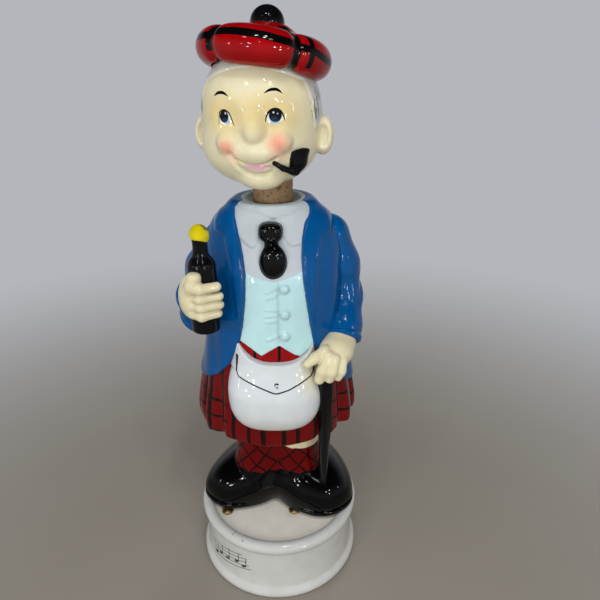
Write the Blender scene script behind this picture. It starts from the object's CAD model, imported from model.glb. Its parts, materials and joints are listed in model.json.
import json
import math

import bpy
import numpy as np
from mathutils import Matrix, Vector


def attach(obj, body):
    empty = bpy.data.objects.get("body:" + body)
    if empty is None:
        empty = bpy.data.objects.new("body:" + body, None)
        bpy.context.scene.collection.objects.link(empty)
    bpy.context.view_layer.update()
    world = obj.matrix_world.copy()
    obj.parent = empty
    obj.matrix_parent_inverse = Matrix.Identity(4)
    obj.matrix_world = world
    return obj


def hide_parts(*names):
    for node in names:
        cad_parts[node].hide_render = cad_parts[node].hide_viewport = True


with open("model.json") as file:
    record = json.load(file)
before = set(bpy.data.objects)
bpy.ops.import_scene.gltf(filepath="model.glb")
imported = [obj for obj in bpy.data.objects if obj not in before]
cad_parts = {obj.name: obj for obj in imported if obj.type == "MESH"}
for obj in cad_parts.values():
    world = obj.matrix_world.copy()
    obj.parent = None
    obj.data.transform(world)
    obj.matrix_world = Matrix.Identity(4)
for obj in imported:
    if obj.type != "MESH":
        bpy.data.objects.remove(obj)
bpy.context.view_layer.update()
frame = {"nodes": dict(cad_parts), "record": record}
mm = 0.001
coarse = 1.0     # rougher clay while trying things
wellIn = -9.0                           # stands for far inside a form, or far off the paint
print("frame loaded,", len(frame["nodes"]), "nodes")


# clay tools: every form is a field in millimetres, below zero inside

def joined(a, b, blend):
    h = np.clip(0.5 + 0.5 * (b - a) / blend, 0, 1)
    return b + (a - b) * h - blend * h * (1 - h)


def shared(a, b, blend):
    return -joined(-a, -b, blend)


def carved(a, b, blend):
    return -joined(-a, b, blend)


def ramp(low, high, value):
    t = np.clip((value - low) / (high - low), 0, 1)
    return t * t * (3 - 2 * t)


def slab(value, low, high):
    return np.abs(value - (low + high) / 2) - (high - low) / 2


def ball(x, y, z, centre, radii):
    u, v, w = x - centre[0], y - centre[1], z - centre[2]
    near = np.sqrt((u / radii[0]) ** 2 + (v / radii[1]) ** 2 + (w / radii[2]) ** 2)
    slope = np.sqrt((u / radii[0] ** 2) ** 2 + (v / radii[1] ** 2) ** 2 + (w / radii[2] ** 2) ** 2)
    return near * (near - 1) / np.maximum(slope, 1e-6)


def heaped(whole, x, y, z, lumps):
    # balls pressed on one by one, each a centre, its radii and how far it blends
    for centre, radii, blend in lumps:
        whole = joined(whole, ball(x, y, z, centre, radii), blend)
    return whole


def puff(x, y, z, centre, radii, squareness):
    # a ball pressed towards a box
    away = [np.abs((p - c) / r) ** squareness for p, c, r in zip((x, y, z), centre, radii)]
    return (sum(away) ** (1 / squareness) - 1) * min(radii)


def limb(x, y, z, start, end, startRadius, endRadius):
    dx, dy, dz = (e - s for s, e in zip(start, end))
    u, v, w = x - start[0], y - start[1], z - start[2]
    t = np.clip((u * dx + v * dy + w * dz) / (dx * dx + dy * dy + dz * dz), 0, 1)
    away = np.sqrt((u - dx * t) ** 2 + (v - dy * t) ** 2 + (w - dz * t) ** 2)
    return away - startRadius - (endRadius - startRadius) * t


def chain(x, y, z, points, blend):
    # points are (x, y, z, radius), each run a limb
    runs = [limb(x, y, z, a[:3], b[:3], a[3], b[3]) for a, b in zip(points, points[1:])]
    whole = runs[0]
    for run in runs[1:]:
        whole = joined(whole, run, blend)
    return whole


def lineGap(u, v, points):
    # distance on a plan to the line through the points
    runs = zip(points, points[1:])
    return np.min([limb(u, 0 * u, v, (a, 0, b), (c, 0, d), 0, 0) for (a, b), (c, d) in runs], 0)


def past(x, y, z, place, way):
    # how far beyond the flat that stands across the way at the place
    return (x - place[0]) * way[0] + (y - place[1]) * way[1] + (z - place[2]) * way[2]


def swing(u, v, degrees):
    c, s = math.cos(math.radians(degrees)), math.sin(math.radians(degrees))
    return u * c + v * s, v * c - u * s


def turnOf(x, y):
    return np.degrees(np.arctan2(x, -y))


def between(value, marks, sizes):
    # smooth curve through the sizes given at the marks
    marks, sizes = np.asarray(marks, float), np.asarray(sizes, float)
    slopes = np.gradient(sizes, marks)
    k = np.clip(np.searchsorted(marks, value) - 1, 0, len(marks) - 2)
    span = marks[k + 1] - marks[k]
    t = np.clip((value - marks[k]) / span, 0, 1)
    a, b = 2 * t ** 3 - 3 * t ** 2 + 1, t ** 3 - 2 * t ** 2 + t
    c, d = 3 * t ** 2 - 2 * t ** 3, t ** 3 - t ** 2
    return a * sizes[k] + b * span * slopes[k] + c * sizes[k + 1] + d * span * slopes[k + 1]


def inOutline(u, v, points):
    # distance to a closed outline, above zero inside
    best = np.full(np.shape(u), 1e9)
    inside = np.zeros(np.shape(u), bool)
    for (a, b), (c, d) in zip(points, points[1:] + points[:1]):
        t = np.clip(((u - a) * (c - a) + (v - b) * (d - b)) / ((c - a) ** 2 + (d - b) ** 2), 0, 1)
        best = np.minimum(best, (u - a - (c - a) * t) ** 2 + (v - b - (d - b) * t) ** 2)
        crosses = (b > v) != (d > v)
        inside ^= crosses & (u < a + (c - a) * (v - b) / (d - b + (d == b)))
    return np.sqrt(best) * np.where(inside, 1, -1)


def chart(outline, low, high, step=0.4):
    # the outline's distance drawn once on a sheet, then read from it anywhere
    us, vs = np.arange(low[0], high[0], step), np.arange(low[1], high[1], step)
    sheet = inOutline(us[:, None] + 0 * vs, 0 * us[:, None] + vs, outline)

    def read(u, v):
        a = np.clip((u - low[0]) / step, 0, len(us) - 1.001)
        b = np.clip((v - low[1]) / step, 0, len(vs) - 1.001)
        i, j = a.astype(int), b.astype(int)
        a, b = a - i, b - j
        upper = sheet[i, j] * (1 - b) + sheet[i, j + 1] * b
        lower = sheet[i + 1, j] * (1 - b) + sheet[i + 1, j + 1] * b
        return upper * (1 - a) + lower * a
    return read


# mesh making: block and batch of the sampling, turns of settling, probe and reach in mm
clay = {"block": 4, "near": 1.6, "batch": 4000, "margin": 2, "turns": 3, "probe": 0.05, "reach": 1.6}


def sampled(field, low, blocks, step):
    # values on a grid, worked out only in the blocks near the surface
    edge, batch = clay["block"], clay["batch"]
    middles = [l + step * (edge * np.arange(n) + (edge - 1) / 2) for l, n in zip(low, blocks)]
    rough = field(*(m.ravel() for m in np.meshgrid(*middles, indexing="ij"))).reshape(blocks)
    values = np.repeat(rough.ravel(), edge ** 3).reshape(*blocks, edge, edge, edge)
    near = np.stack(np.nonzero(np.abs(rough) < clay["near"] * edge * step), 1)
    inner = [o.ravel() for o in np.meshgrid(*[step * np.arange(edge)] * 3, indexing="ij")]
    for first in range(0, len(near), batch):
        some = near[first:first + batch]
        spots = [(low[k] + step * edge * some[:, k, None] + inner[k]).ravel() for k in range(3)]
        values[tuple(some.T)] = field(*spots).reshape(-1, edge, edge, edge)
    return values.transpose(0, 3, 1, 4, 2, 5).reshape([n * edge for n in blocks])


def skinned(field, low, high, step):
    # one vertex in each grid cell that the surface crosses, one quad on each crossed grid edge
    low = np.asarray(low, float)
    blocks = [int(math.ceil((h - l) / step / clay["block"])) + 1 for l, h in zip(low, high)]
    values = sampled(field, low, blocks, step)
    inside = values < 0
    corners = np.array([(a, b, c) for a in (0, 1) for b in (0, 1) for c in (0, 1)])
    m, n, o = (count - 1 for count in values.shape)
    count = sum(inside[a:a + m, b:b + n, c:c + o].astype(np.int8) for a, b, c in corners)
    crossed = (count > 0) & (count < len(corners))
    cells = np.argwhere(crossed)
    number = np.full(crossed.shape, -1)
    number[crossed] = np.arange(len(cells))
    held = np.stack([values[tuple((cells + c).T)] for c in corners], 1)
    total, hits = np.zeros((len(cells), 3)), np.zeros(len(cells))
    for i, start in enumerate(corners):
        for j, end in enumerate(corners[:i]):
            if np.abs(start - end).sum() != 1:
                continue
            meets = (held[:, i] < 0) != (held[:, j] < 0)
            t = held[:, i] / np.where(meets, held[:, i] - held[:, j], 1)
            total += meets[:, None] * (start + t[:, None] * (end - start))
            hits += meets
    verts = low + step * (cells + total / hits[:, None])
    quads = []
    for axis in range(3):
        first = np.take(inside, range(values.shape[axis] - 1), axis)
        last = np.take(inside, range(1, values.shape[axis]), axis)
        spots = np.argwhere(first != last)
        u, v = np.eye(3, dtype=int)[(axis + 1) % 3], np.eye(3, dtype=int)[(axis + 2) % 3]
        ring = np.stack([number[tuple((spots - o).T)] for o in (u + v, v, 0 * u, u)], 1)
        outward = first[tuple(spots.T)]
        quads.append(np.where(outward[:, None], ring, ring[:, ::-1]))
    return verts, np.concatenate(quads)


def evened(values, quads):
    # each vertex half way to the mean of its neighbours
    ends = np.concatenate([quads, np.roll(quads, 1, 1)]).ravel()
    others = np.concatenate([np.roll(quads, 1, 1), quads]).ravel()
    count = np.maximum(np.bincount(ends, minlength=len(values)), 1)
    columns = values.reshape(len(values), -1).T
    mean = np.stack([np.bincount(ends, column[others], len(values)) / count for column in columns], 1)
    return 0.5 * (values + mean.reshape(values.shape))


def slopeOf(field, verts):
    here, probe = field(*verts.T), clay["probe"]
    return here, np.stack([(field(*(verts + probe * e).T) - here) / probe for e in np.eye(3)], 1)


def sculpt(name, field, low, high, step, paint):
    # a closed mesh of the field's surface, with its pooling, rims and paint fields on the vertices
    step *= coarse
    margin = clay["margin"] * step
    verts, quads = skinned(field, [l - margin for l in low], [h + margin for h in high], step)
    for turn in range(clay["turns"]):
        if turn:
            verts = evened(verts, quads)
        here, slope = slopeOf(field, verts)
        push = here / np.maximum((slope ** 2).sum(1), 0.1)
        verts = verts - np.clip(push, -step, step)[:, None] * slope
    here, slope = slopeOf(field, verts)
    length = np.maximum(np.sqrt((slope ** 2).sum(1)), 0.2)
    out, reach = clay["reach"] * slope / length[:, None], clay["reach"] * length
    fields = {"pool": 1 - (field(*(verts + out).T) - here) / reach,
              "rim": 1 + (field(*(verts - out).T) - here) / reach}
    for turn in range(clay["turns"]):
        fields = {label: evened(value, quads) for label, value in fields.items()}
    fields.update(paint(*verts.T) if paint else {})
    mesh = bpy.data.meshes.new(name)
    mesh.vertices.add(len(verts))
    mesh.vertices.foreach_set("co", (verts * mm).astype(np.float32).ravel())
    mesh.loops.add(quads.size)
    mesh.loops.foreach_set("vertex_index", quads.astype(np.int32).ravel())
    mesh.polygons.add(len(quads))
    mesh.polygons.foreach_set("loop_start", np.arange(0, quads.size, 4, dtype=np.int32))
    mesh.update(calc_edges=True)
    mesh.validate()
    mesh.polygons.foreach_set("use_smooth", np.ones(len(mesh.polygons), bool))
    for label, value in fields.items():
        flat = np.ndim(value) == 1
        layer = mesh.attributes.new(label, "FLOAT" if flat else "FLOAT_VECTOR", "POINT")
        layer.data.foreach_set("value" if flat else "vector", np.asarray(value, np.float32).ravel())
    piece = bpy.data.objects.new(name, mesh)
    bpy.context.scene.collection.objects.link(piece)
    print(name, len(quads), "quads")
    return piece


def settled(name, field, sizes, material, body, node, paint=None):
    piece = sculpt(name, field, *sizes["room"], sizes["step"], paint)
    piece.data.materials.append(material)
    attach(piece, body)
    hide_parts(node)


# paint tools

def linear(hexColour):
    parts = [int(hexColour[i:i + 2], 16) / 255 for i in (1, 3, 5)]
    return tuple(c / 12.92 if c <= 0.04045 else ((c + 0.055) / 1.055) ** 2.4 for c in parts) + (1,)


def addNode(tree, kind, settings, output=0):
    # a setting is a property or an input, and a value that is another node's output is linked to it
    node = tree.nodes.new("ShaderNode" + kind)
    for key, value in settings.items():
        if isinstance(value, bpy.types.NodeSocket):
            tree.links.new(value, node.inputs[key])
        elif isinstance(key, str) and hasattr(node, key):
            setattr(node, key, value)
        else:
            node.inputs[key].default_value = value
    return node.outputs[output] if len(node.outputs) else node


def newMaterial(name):
    material = bpy.data.materials.new(name)
    material.use_nodes = True
    material.node_tree.nodes.clear()
    return material, material.node_tree


def grain(tree, sizeMm, detail=2.0, stretch=None):
    # noise whose patches are about sizeMm across on the piece
    place = addNode(tree, "TexCoord", {}, "Object")
    if stretch:
        place = addNode(tree, "Mapping", {"Scale": stretch, 0: place})
    return addNode(tree, "TexNoise", {"Scale": 1000 / sizeMm, "Detail": detail, 0: place})


def gathered(tree, operation, values):
    # many values brought to one, two at a time
    whole = values[0]
    for value in values[1:]:
        whole = addNode(tree, "Math", {"operation": operation, 0: whole, 1: value})
    return whole


def strayed(tree, value, amount, sizeMm):
    # the value wandering by half the amount either way
    stray = addNode(tree, "Math", {"operation": "SUBTRACT", 0: grain(tree, sizeMm), 1: 0.5})
    return addNode(tree, "Math", {"operation": "MULTIPLY_ADD", 0: stray, 1: amount, 2: value})


def edged(tree, signed, soft=0.2, wander=0.3, sizeMm=3.5):
    # brush edge: a distance in mm, or a vertex field's name, wandering a little and turned into a mask
    if isinstance(signed, str):
        signed = addNode(tree, "Attribute", {"attribute_name": signed}, "Fac")
    wavy = strayed(tree, signed, 2 * wander, sizeMm)
    return addNode(tree, "MapRange", {"interpolation_type": "SMOOTHSTEP", 0: wavy, 1: -soft, 2: soft})


def coats(tree, ground, *layers):
    # paint laid on in turn, each coat its colour, where it lies and any shares that thin it
    colour = ground
    for tone, *shares in layers:
        under, top = (linear(c) if isinstance(c, str) else c for c in (colour, tone))
        mask = gathered(tree, "MULTIPLY", shares)
        colour = addNode(tree, "Mix", {"data_type": "RGBA", 0: mask, 6: under, 7: top}, 2)
    return colour


def frontPlan(tree):
    # the place on the piece in mm as seen from the front, and its height
    place = addNode(tree, "TexCoord", {}, "Object")
    across, up = (addNode(tree, "SeparateXYZ", {0: place}, axis) for axis in (0, 2))
    plan = addNode(tree, "CombineXYZ", {0: across, 1: up})
    plan = addNode(tree, "VectorMath", {"operation": "SCALE", 0: plan, 3: 1 / mm})
    return plan, addNode(tree, "SeparateXYZ", {0: plan}, 1)


def inkMarks(tree, plan, strokes, soft=0.1):
    # strokes are (u, v, u, v, half width at the start, at the end) in mm on the plan
    inks = []
    for a, b, c, d, startHalf, endHalf in strokes:
        reach = (c - a) ** 2 + (d - b) ** 2
        lead = ((c - a) / reach, (d - b) / reach, 0)
        away = addNode(tree, "VectorMath", {"operation": "SUBTRACT", 0: plan, 1: (a, b, 0)})
        along = addNode(tree, "VectorMath", {"operation": "DOT_PRODUCT", 0: away, 1: lead}, 1)
        along = addNode(tree, "Clamp", {0: along})
        foot = addNode(tree, "VectorMath", {"operation": "SCALE", 0: (c - a, d - b, 0), 3: along})
        gap = addNode(tree, "VectorMath", {"operation": "DISTANCE", 0: away, 1: foot}, 1)
        swell = {"operation": "MULTIPLY_ADD", 0: along, 1: endHalf - startHalf, 2: startHalf}
        inks.append(gathered(tree, "SUBTRACT", (addNode(tree, "Math", swell), gap)))
    ink = gathered(tree, "MAXIMUM", inks)
    return addNode(tree, "MapRange", {"interpolation_type": "SMOOTHSTEP", 0: ink, 1: -soft, 2: soft})


def brushed(line, parts=3):
    # a smooth line through (u, v, half width) points, as short strokes
    fine = np.linspace(0, len(line) - 1, parts * (len(line) - 1) + 1)
    spots = list(zip(*(between(fine, np.arange(len(line)), column) for column in zip(*line))))
    return [(*a[:2], *b[:2], a[2], b[2]) for a, b in zip(spots, spots[1:])]


def inkSpot(tree, plan, centre, radii, soft):
    # filled oval, soft as a share of its radius
    away = addNode(tree, "VectorMath", {"operation": "SUBTRACT", 0: plan, 1: (*centre, 0)})
    away = addNode(tree, "VectorMath", {"operation": "MULTIPLY", 0: away, 1: (1 / radii[0], 1 / radii[1], 0)})
    gap = addNode(tree, "VectorMath", {"operation": "LENGTH", 0: away}, 1)
    return addNode(tree, "MapRange", {"interpolation_type": "SMOOTHSTEP", 0: gap, 1: 1 + soft, 2: 1 - soft})


glaze = {  # a soft, thin coat
    "ior": 1.32, "blackIor": 1.26, "poolFrom": 0.05, "poolTo": 0.75, "rimFrom": 0.3, "rimTo": 1.1,
    "cloudMm": 9.0, "cloudLow": 0.95, "cloudHigh": 1.03, "glossMm": 4.0, "smooth": 0.05, "dull": 0.09,
    "satin": 0.3,
    "peelMm": 5.0, "peelDeep": 0.035, "peelShare": 0.3, "speckMm": 0.7, "speckDeep": 0.02, "speckShare": 0.08,
}


def fired(tree, colour, pooled, thin, ior=glaze["ior"], satin=None):
    # clear gloss over the paint: deeper where it pools, paler where it runs thin over a ridge, faintly uneven
    pool, rim = (addNode(tree, "Attribute", {"attribute_name": field}, "Fac") for field in ("pool", "rim"))
    deep = {0: pool, 1: glaze["poolFrom"], 2: glaze["poolTo"], 3: 1.0, 4: 1 - pooled}
    bare = {0: rim, 1: glaze["rimFrom"], 2: glaze["rimTo"], 3: 1.0, 4: 1 + thin}
    cloud = {0: grain(tree, glaze["cloudMm"], 3), 1: 0.3, 2: 0.7, 3: glaze["cloudLow"], 4: glaze["cloudHigh"]}
    tone = gathered(tree, "MULTIPLY", [addNode(tree, "MapRange", span) for span in (deep, bare, cloud)])
    shade = addNode(tree, "VectorMath", {"operation": "SCALE", 0: colour, 3: tone})
    gloss = {0: grain(tree, glaze["glossMm"], 3), 1: 0.35, 2: 0.75, 3: glaze["smooth"], 4: glaze["dull"]}
    gloss = addNode(tree, "MapRange", gloss)
    if satin is not None:
        gloss = addNode(tree, "Math", {"operation": "MULTIPLY_ADD", 0: satin, 1: glaze["satin"], 2: gloss})
    peel = addNode(tree, "Bump", {"Strength": glaze["peelShare"], "Distance": glaze["peelDeep"] * mm,
                                  "Height": grain(tree, glaze["peelMm"], 2)})
    speck = addNode(tree, "Bump", {"Strength": glaze["speckShare"], "Distance": glaze["speckDeep"] * mm,
                                   "Height": grain(tree, glaze["speckMm"], 1), "Normal": peel})
    shader = {"IOR": ior, "Base Color": shade, "Roughness": gloss, "Normal": speck}
    addNode(tree, "OutputMaterial", {0: addNode(tree, "BsdfPrincipled", shader)})


def plainGlaze(name, ground, second, pooled, thin, ior=glaze["ior"]):
    material, tree = newMaterial(name)
    fired(tree, coats(tree, ground, (second, grain(tree, 14.0, 3))), pooled, thin, ior)
    return material


# base: slip-cast ring with a rolled bead at top and foot and a sunk plate
base = {
    "room": ((-52, -52, 0), (52, 52, 44.6)), "step": 0.85, "footEdge": 0.5,
    "beadRadius": 3.8, "footRing": (48.2, 3.8), "topRing": (47.3, 40.8), "beadBlend": 1.6,
    "wallIn": 44.6, "wallOut": 49.3, "wallLevels": (1.0, 41.0), "waist": 0.5, "waistFrom": 6.0,
    "waistTall": 32.0,
    "plateUnder": 38.5, "plateTop": 42.0, "plateBlend": 0.7, "plateRim": (44.4, 42.6),
    "plateRise": (38.0, 41.0),
    "screws": ((-32.8, -19.3), (10.5, -18.9), (-15.5, 25.0)), "screwHole": 1.85, "stainReach": 3.0,
    "plunger": (-38.5, 0.5), "plungerHole": 3.6, "holeEdge": 0.6,
    "staffTurn": -39.5, "staffLines": 5, "staffGap": 2.7, "staffLow": 16.5, "staffHalf": 17.0,
    "staffRise": 3.2,
    "staffShorter": 1.5, "lineHalf": 0.27, "chips": ((12.6, 43.9, 0.7, 0.3), (4.8, 44.3, 0.4, 0.25)),
    "notes": ((-13.5, 15.6, 7.0), (-8.0, 19.0, 8.0), (-1.1, 20.2, 9.3), (6.6, 22.5, 7.7), (12.0, 20.8, 7.4)),
    "noteHalf": 0.6, "noteSlant": 0.25, "noteFat": (1.15, 1.0), "stemAt": (1.5, 1.7),
    "stemHalf": (0.26, 0.34),
    "white": "#CBCCC9", "cloud": "#C5C5C1", "cream": "#ECE7DB", "grime": "#A2977C", "ink": "#1C1C20",
}


def baseField(x, y, z):
    r = np.hypot(x, y)
    waist = base["waist"] * np.sin(np.clip((z - base["waistFrom"]) / base["waistTall"], 0, 1) * math.pi)
    wall = slab(r, base["wallIn"], base["wallOut"]) + waist * (r > (base["wallIn"] + base["wallOut"]) / 2)
    whole = np.maximum(wall, slab(z, *base["wallLevels"]))
    for a, b in (base["topRing"], base["footRing"]):
        whole = joined(whole, np.hypot(r - a, z - b) - base["beadRadius"], base["beadBlend"])
    plate = np.maximum(r - base["topRing"][0], slab(z, base["plateUnder"], base["plateTop"]))
    whole = joined(whole, plate, base["plateBlend"])
    for a, b in base["screws"]:
        whole = np.maximum(whole, base["screwHole"] - np.hypot(x - a, y - b))
    a, b = base["plunger"]
    whole = carved(whole, np.hypot(x - a, y - b) - base["plungerHole"], base["holeEdge"])
    whole = np.maximum(whole, np.where(r < base["wallIn"], z - base["plateTop"], wellIn))
    return shared(whole, -z, base["footEdge"])


def basePaint(x, y, z):
    turn = (turnOf(x, y) - base["staffTurn"] + 180) % 360 - 180
    reach = base["screwHole"] + base["stainReach"]
    return {"staff": np.stack([np.radians(turn) * base["wallOut"], z, 0 * z], 1),
            "stain": np.max([reach - np.hypot(x - a, y - b) for a, b in base["screws"]], 0),
            "plate": ramp(*base["plateRim"], np.hypot(x, y)) * ramp(*base["plateRise"], z)}


def baseGlaze():
    # glazed earthenware: off-white, glossy, brown grime in the crease, a small printed staff under the glaze
    material, tree = newMaterial("glazed_earthenware_offwhite")
    fields = ("pool", "stain", "plate")
    pool, stain, plate = (addNode(tree, "Attribute", {"attribute_name": field}, "Fac") for field in fields)
    crease = addNode(tree, "MapRange", {0: pool, 1: 0.2, 2: 0.8, 4: 0.8})
    rust = addNode(tree, "MapRange", {0: stain, 1: -2.5, 2: 1.2, 3: 0.0, 4: 0.4})
    dirt = gathered(tree, "MAXIMUM", (crease, rust))
    staff, half, thin = [], base["staffHalf"], base["lineHalf"]
    for line in range(base["staffLines"]):
        level = base["staffLow"] + line * base["staffGap"]
        end = half - base["staffShorter"] * line
        staff.append((-half, level - base["staffRise"], end, level + base["staffRise"], thin, thin))
    wide, slant = base["noteHalf"], base["noteSlant"]
    for at, level, tall in base["notes"]:
        foot, top = (at + a for a in base["stemAt"])
        staff.append((at - wide, level - slant, at + wide, level + slant, *base["noteFat"]))
        staff.append((foot, level, top, level + tall, *base["stemHalf"]))
    plan = addNode(tree, "Attribute", {"attribute_name": "staff"}, "Vector")
    inks = [gathered(tree, "MULTIPLY", (inkMarks(tree, plan, staff, 0.12), 0.9))]
    for a, b, wide, tall in base["chips"]:
        inks.append(gathered(tree, "MULTIPLY", (inkSpot(tree, plan, (a, b), (wide, tall), 0.4), 0.6)))
    colour = coats(tree, base["white"], (base["cloud"], grain(tree, 30.0, 3)), (base["cream"], plate),
                   (base["grime"], dirt, grain(tree, 8.0, 3)), (base["ink"], gathered(tree, "MAXIMUM", inks)))
    fired(tree, colour, 0.4, 0.06)
    return material


# trunk: coat, waistcoat, shirt and kilt are low relief on one casting
trunk = {
    "room": ((-48.5, -42, 102), (48.5, 42, 245)), "step": 0.78,
    "levels": (96, 105, 116, 130, 143, 155, 166, 177, 195, 208, 220, 230, 236, 240.5, 246),
    "halfWidths": (42.0, 43.4, 45.8, 45, 42.8, 40.6, 38.4, 36.8, 36, 36, 34.6, 31.4, 27.4, 22.4, 18.2),
    "halfDepths": (37.2, 37.8, 38.6, 38.4, 38, 37.4, 36.6, 35.6, 33.8, 31.4, 28, 23.6, 20.8, 18.8, 17),
    "squareness": 2.15, "top": 244.4, "topEdge": 2.2, "neckBore": 10.5, "boreFoot": 228, "boreEdge": 0.8,
    "funnelWide": 14.4, "funnelFoot": 239.6, "funnelRise": 3.5, "funnelEdge": 0.9, "ringWide": 17.2,
    "ringFoot": 240,
    "hemTurns": (-180, -80, -47, -34, -8, 24, 45, 60, 84, 180), "hemEdge": 1.2, "hemInset": 3.2,
    "hemDeep": 2.6,
    "hem": (107, 106.5, 112, 111.6, 110.3, 111.7, 114.2, 114.2, 112.5, 107), "hemHollow": 1.0,
    "pleats": 17, "pleatDeep": 1.6, "pleatTurn": -4, "pleatSides": (26, 50), "pleatFall": (172, 112),
    "coatThick": 1.9, "vestThick": 0.55, "collarThick": 1.0, "lapelThick": 1.1, "front": (4, -6),
    "drapeDeep": 0.4, "drapeSides": (17, 25), "drapeFall": (226, 204), "backFrom": 12, "kiltFrom": (160, 150),
    "window": [(-20.5, 252), (-19.6, 243), (-18.9, 238), (-16.9, 231), (-14.9, 222), (-13.5, 212),
               (-13.9, 200),
               (-15.4, 187), (-17.2, 178), (-20.2, 169), (-24.5, 160.5), (-31, 152.5), (-39, 146), (-50, 141),
               (-50, 96), (50, 96), (50, 135), (43, 140), (35, 148), (29, 157), (24.5, 166), (21.6, 174),
               (19.6, 185), (17.6, 198), (15.9, 210), (15.2, 220), (15.4, 229), (16.6, 235.5), (19.0, 239),
               (19.6, 244), (20.5, 252)],
    "vest": [(-24, 215.5), (-13.5, 213.4), (-9.5, 211.4), (-4.4, 209.8), (1.1, 209), (6.6, 210),
             (11.6, 211.8),
             (15.4, 213.5), (26, 216), (26, 174.5), (21.2, 173), (17.5, 170.2), (14.6, 168), (11, 169.6),
             (8.3, 171.6), (3.4, 175.2), (-1, 172.4), (-6, 169.2), (-8.6, 170.8), (-11.5, 173.1),
             (-17.1, 176.4),
             (-24, 178)],
    "collars": ([(-20, 246), (-20.5, 236), (-16, 228.6), (-12.4, 226.2), (-9.3, 224.9), (-7.3, 226.4),
                 (-6.3, 230),
                 (-5.0, 233), (-2.6, 236.2), (0.8, 238.6), (0.8, 246)],
                [(20, 246), (20.5, 232), (15.6, 226.6), (10.8, 225.6), (8.2, 226.8), (6.6, 229.2), (5.2, 232),
                 (3.6, 235.4), (0.8, 238.6), (0.8, 246)]),
    "lapels": ([(-19.6, 246), (-18.9, 238), (-16.9, 231), (-14.9, 222), (-13.5, 212), (-13.9, 200),
                (-15.4, 187),
                (-16.8, 180), (-18.2, 190), (-19.2, 205), (-20.6, 216), (-23.4, 225), (-24.0, 229.4),
                (-29.5, 231),
                (-30, 234.5), (-27.5, 241), (-23, 248)],
               [(19.6, 246), (19, 239), (16.6, 235.5), (15.4, 229), (15.2, 220), (15.9, 210), (17.6, 198),
                (19.6, 185), (20.6, 179), (21.6, 190), (22.4, 206), (23.2, 217), (24.8, 224.5), (24.6, 228.6),
                (30, 230), (30.5, 233), (28, 240), (24, 248)]),
    "tailTurns": (-180, -130, -90, -70, -40, 60, 80, 120, 180),
    "tailLevels": (139.5, 141.5, 143, 144, 144, 141.5, 138, 138, 139.5),
    "buttons": ((6.2, 205.4), (6.4, 192.2), (6.4, 180.2)), "button": (2.5, 1.9, 2.5), "buttonSunk": 0.2,
    "buttonBlend": 0.7, "placket": 3.3, "placketDeep": 0.7, "placketHalf": 0.95, "creaseHigh": 0.65,
    "creaseHalf": 1.25,
    "creases": (((-3, 204), (2.6, 206.4)), ((-2.5, 200.6), (2.4, 202.4)), ((-3.5, 191.4), (2.4, 192)),
                ((-3, 188.4), (2.2, 189.2)), ((-3.2, 195), (2.4, 194.6)), ((-2.6, 178.4), (2.2, 180.4))),
    "knot": ((-0.5, -23.8, 232.6), (5.9, 4.8, 4.9), 2.7), "tieBlend": 0.5,
    "tieLumps": (((-0.1, -26.4, 227.6), (3.5, 3.9, 4.0), 0.8), ((0.7, -28.6, 218.8), (6.8, 4.8, 9.4), 1.6)),
    "rollLine": ((-17.7, 243.2), (-8.3, 241.2), (0.7, 237.8), (8.6, 239.6), (15.6, 242)),
    "rollDeep": 0.6, "rollHalf": 1.3, "coatOver": 0.45, "tieOver": 0.25, "waistTop": 190.0, "skirtTop": 161.5,
    "stripeTurns": (-180, -169, -158, -147, -136, -125, -114, -103, -92, -81, -70, -57, -45, -34.5, -21.5,
                    -10.5,
                    8.5, 18.8, 33.5, 45, 57, 69, 81, 92, 103, 114, 125, 136, 147, 158, 169, 180),
    "barLevels": (112.5, 123.6, 134.6), "barHalf": 0.9,
    "waistBars": ((-9.5, 171.5, -9.6, 160), (3.3, 175, 3.2, 160), (15.7, 171, 14.9, 160)),
    "waistBarHalf": (0.75, 0.7),
    "blue": "#004A84", "blueLight": "#0A5EA2", "aqua": "#B2D6D9", "aquaLight": "#BFE2E4", "shirt": "#BCC5C8",
    "shirtShade": "#B4BBC2", "red": "#8E0306", "redDeep": "#8C0508", "kilt": "#760407", "kiltDeep": "#5E0407",
    "black": "#070708",
}
windowChart, vestChart = (chart(trunk[name], (-52, 94), (52, 254)) for name in ("window", "vest"))
collarCharts = [chart(c, (-40, 200), (40, 254)) for c in trunk["collars"]]
lapelCharts = [chart(c, (-45, 160), (45, 254)) for c in trunk["lapels"]]


def trunkBare(x, y, z):
    w = between(z, trunk["levels"], trunk["halfWidths"])
    d = between(z, trunk["levels"], trunk["halfDepths"])
    n = trunk["squareness"]
    return ((np.abs(x / w) ** n + np.abs(y / d) ** n) ** (1 / n) - 1) * np.minimum(w, d)


def coatEdge(x, y, z):
    # above zero where the coat lies
    tail = z - between(turnOf(x, y), trunk["tailTurns"], trunk["tailLevels"])
    front = -windowChart(x, z) + np.maximum(0, y + trunk["backFrom"]) * 1.2
    ring = np.hypot(x, y) - trunk["ringWide"] + 2 * np.maximum(0, trunk["ringFoot"] - z)
    return np.min([front, tail, ring], 0)


def pleatWave(x, y, z):
    turn = turnOf(x, y)
    phase = np.radians(turn) * trunk["pleats"]
    wave = np.sin(phase) + 0.3 * np.sin(2 * phase + 0.6)
    side = ramp(*trunk["pleatSides"], np.abs(turn - trunk["pleatTurn"]))
    return side * ramp(*trunk["pleatFall"], z) * wave * trunk["pleatDeep"]


def tieField(x, y, z):
    return heaped(puff(x, y, z, *trunk["knot"]), x, y, z, trunk["tieLumps"])


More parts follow.
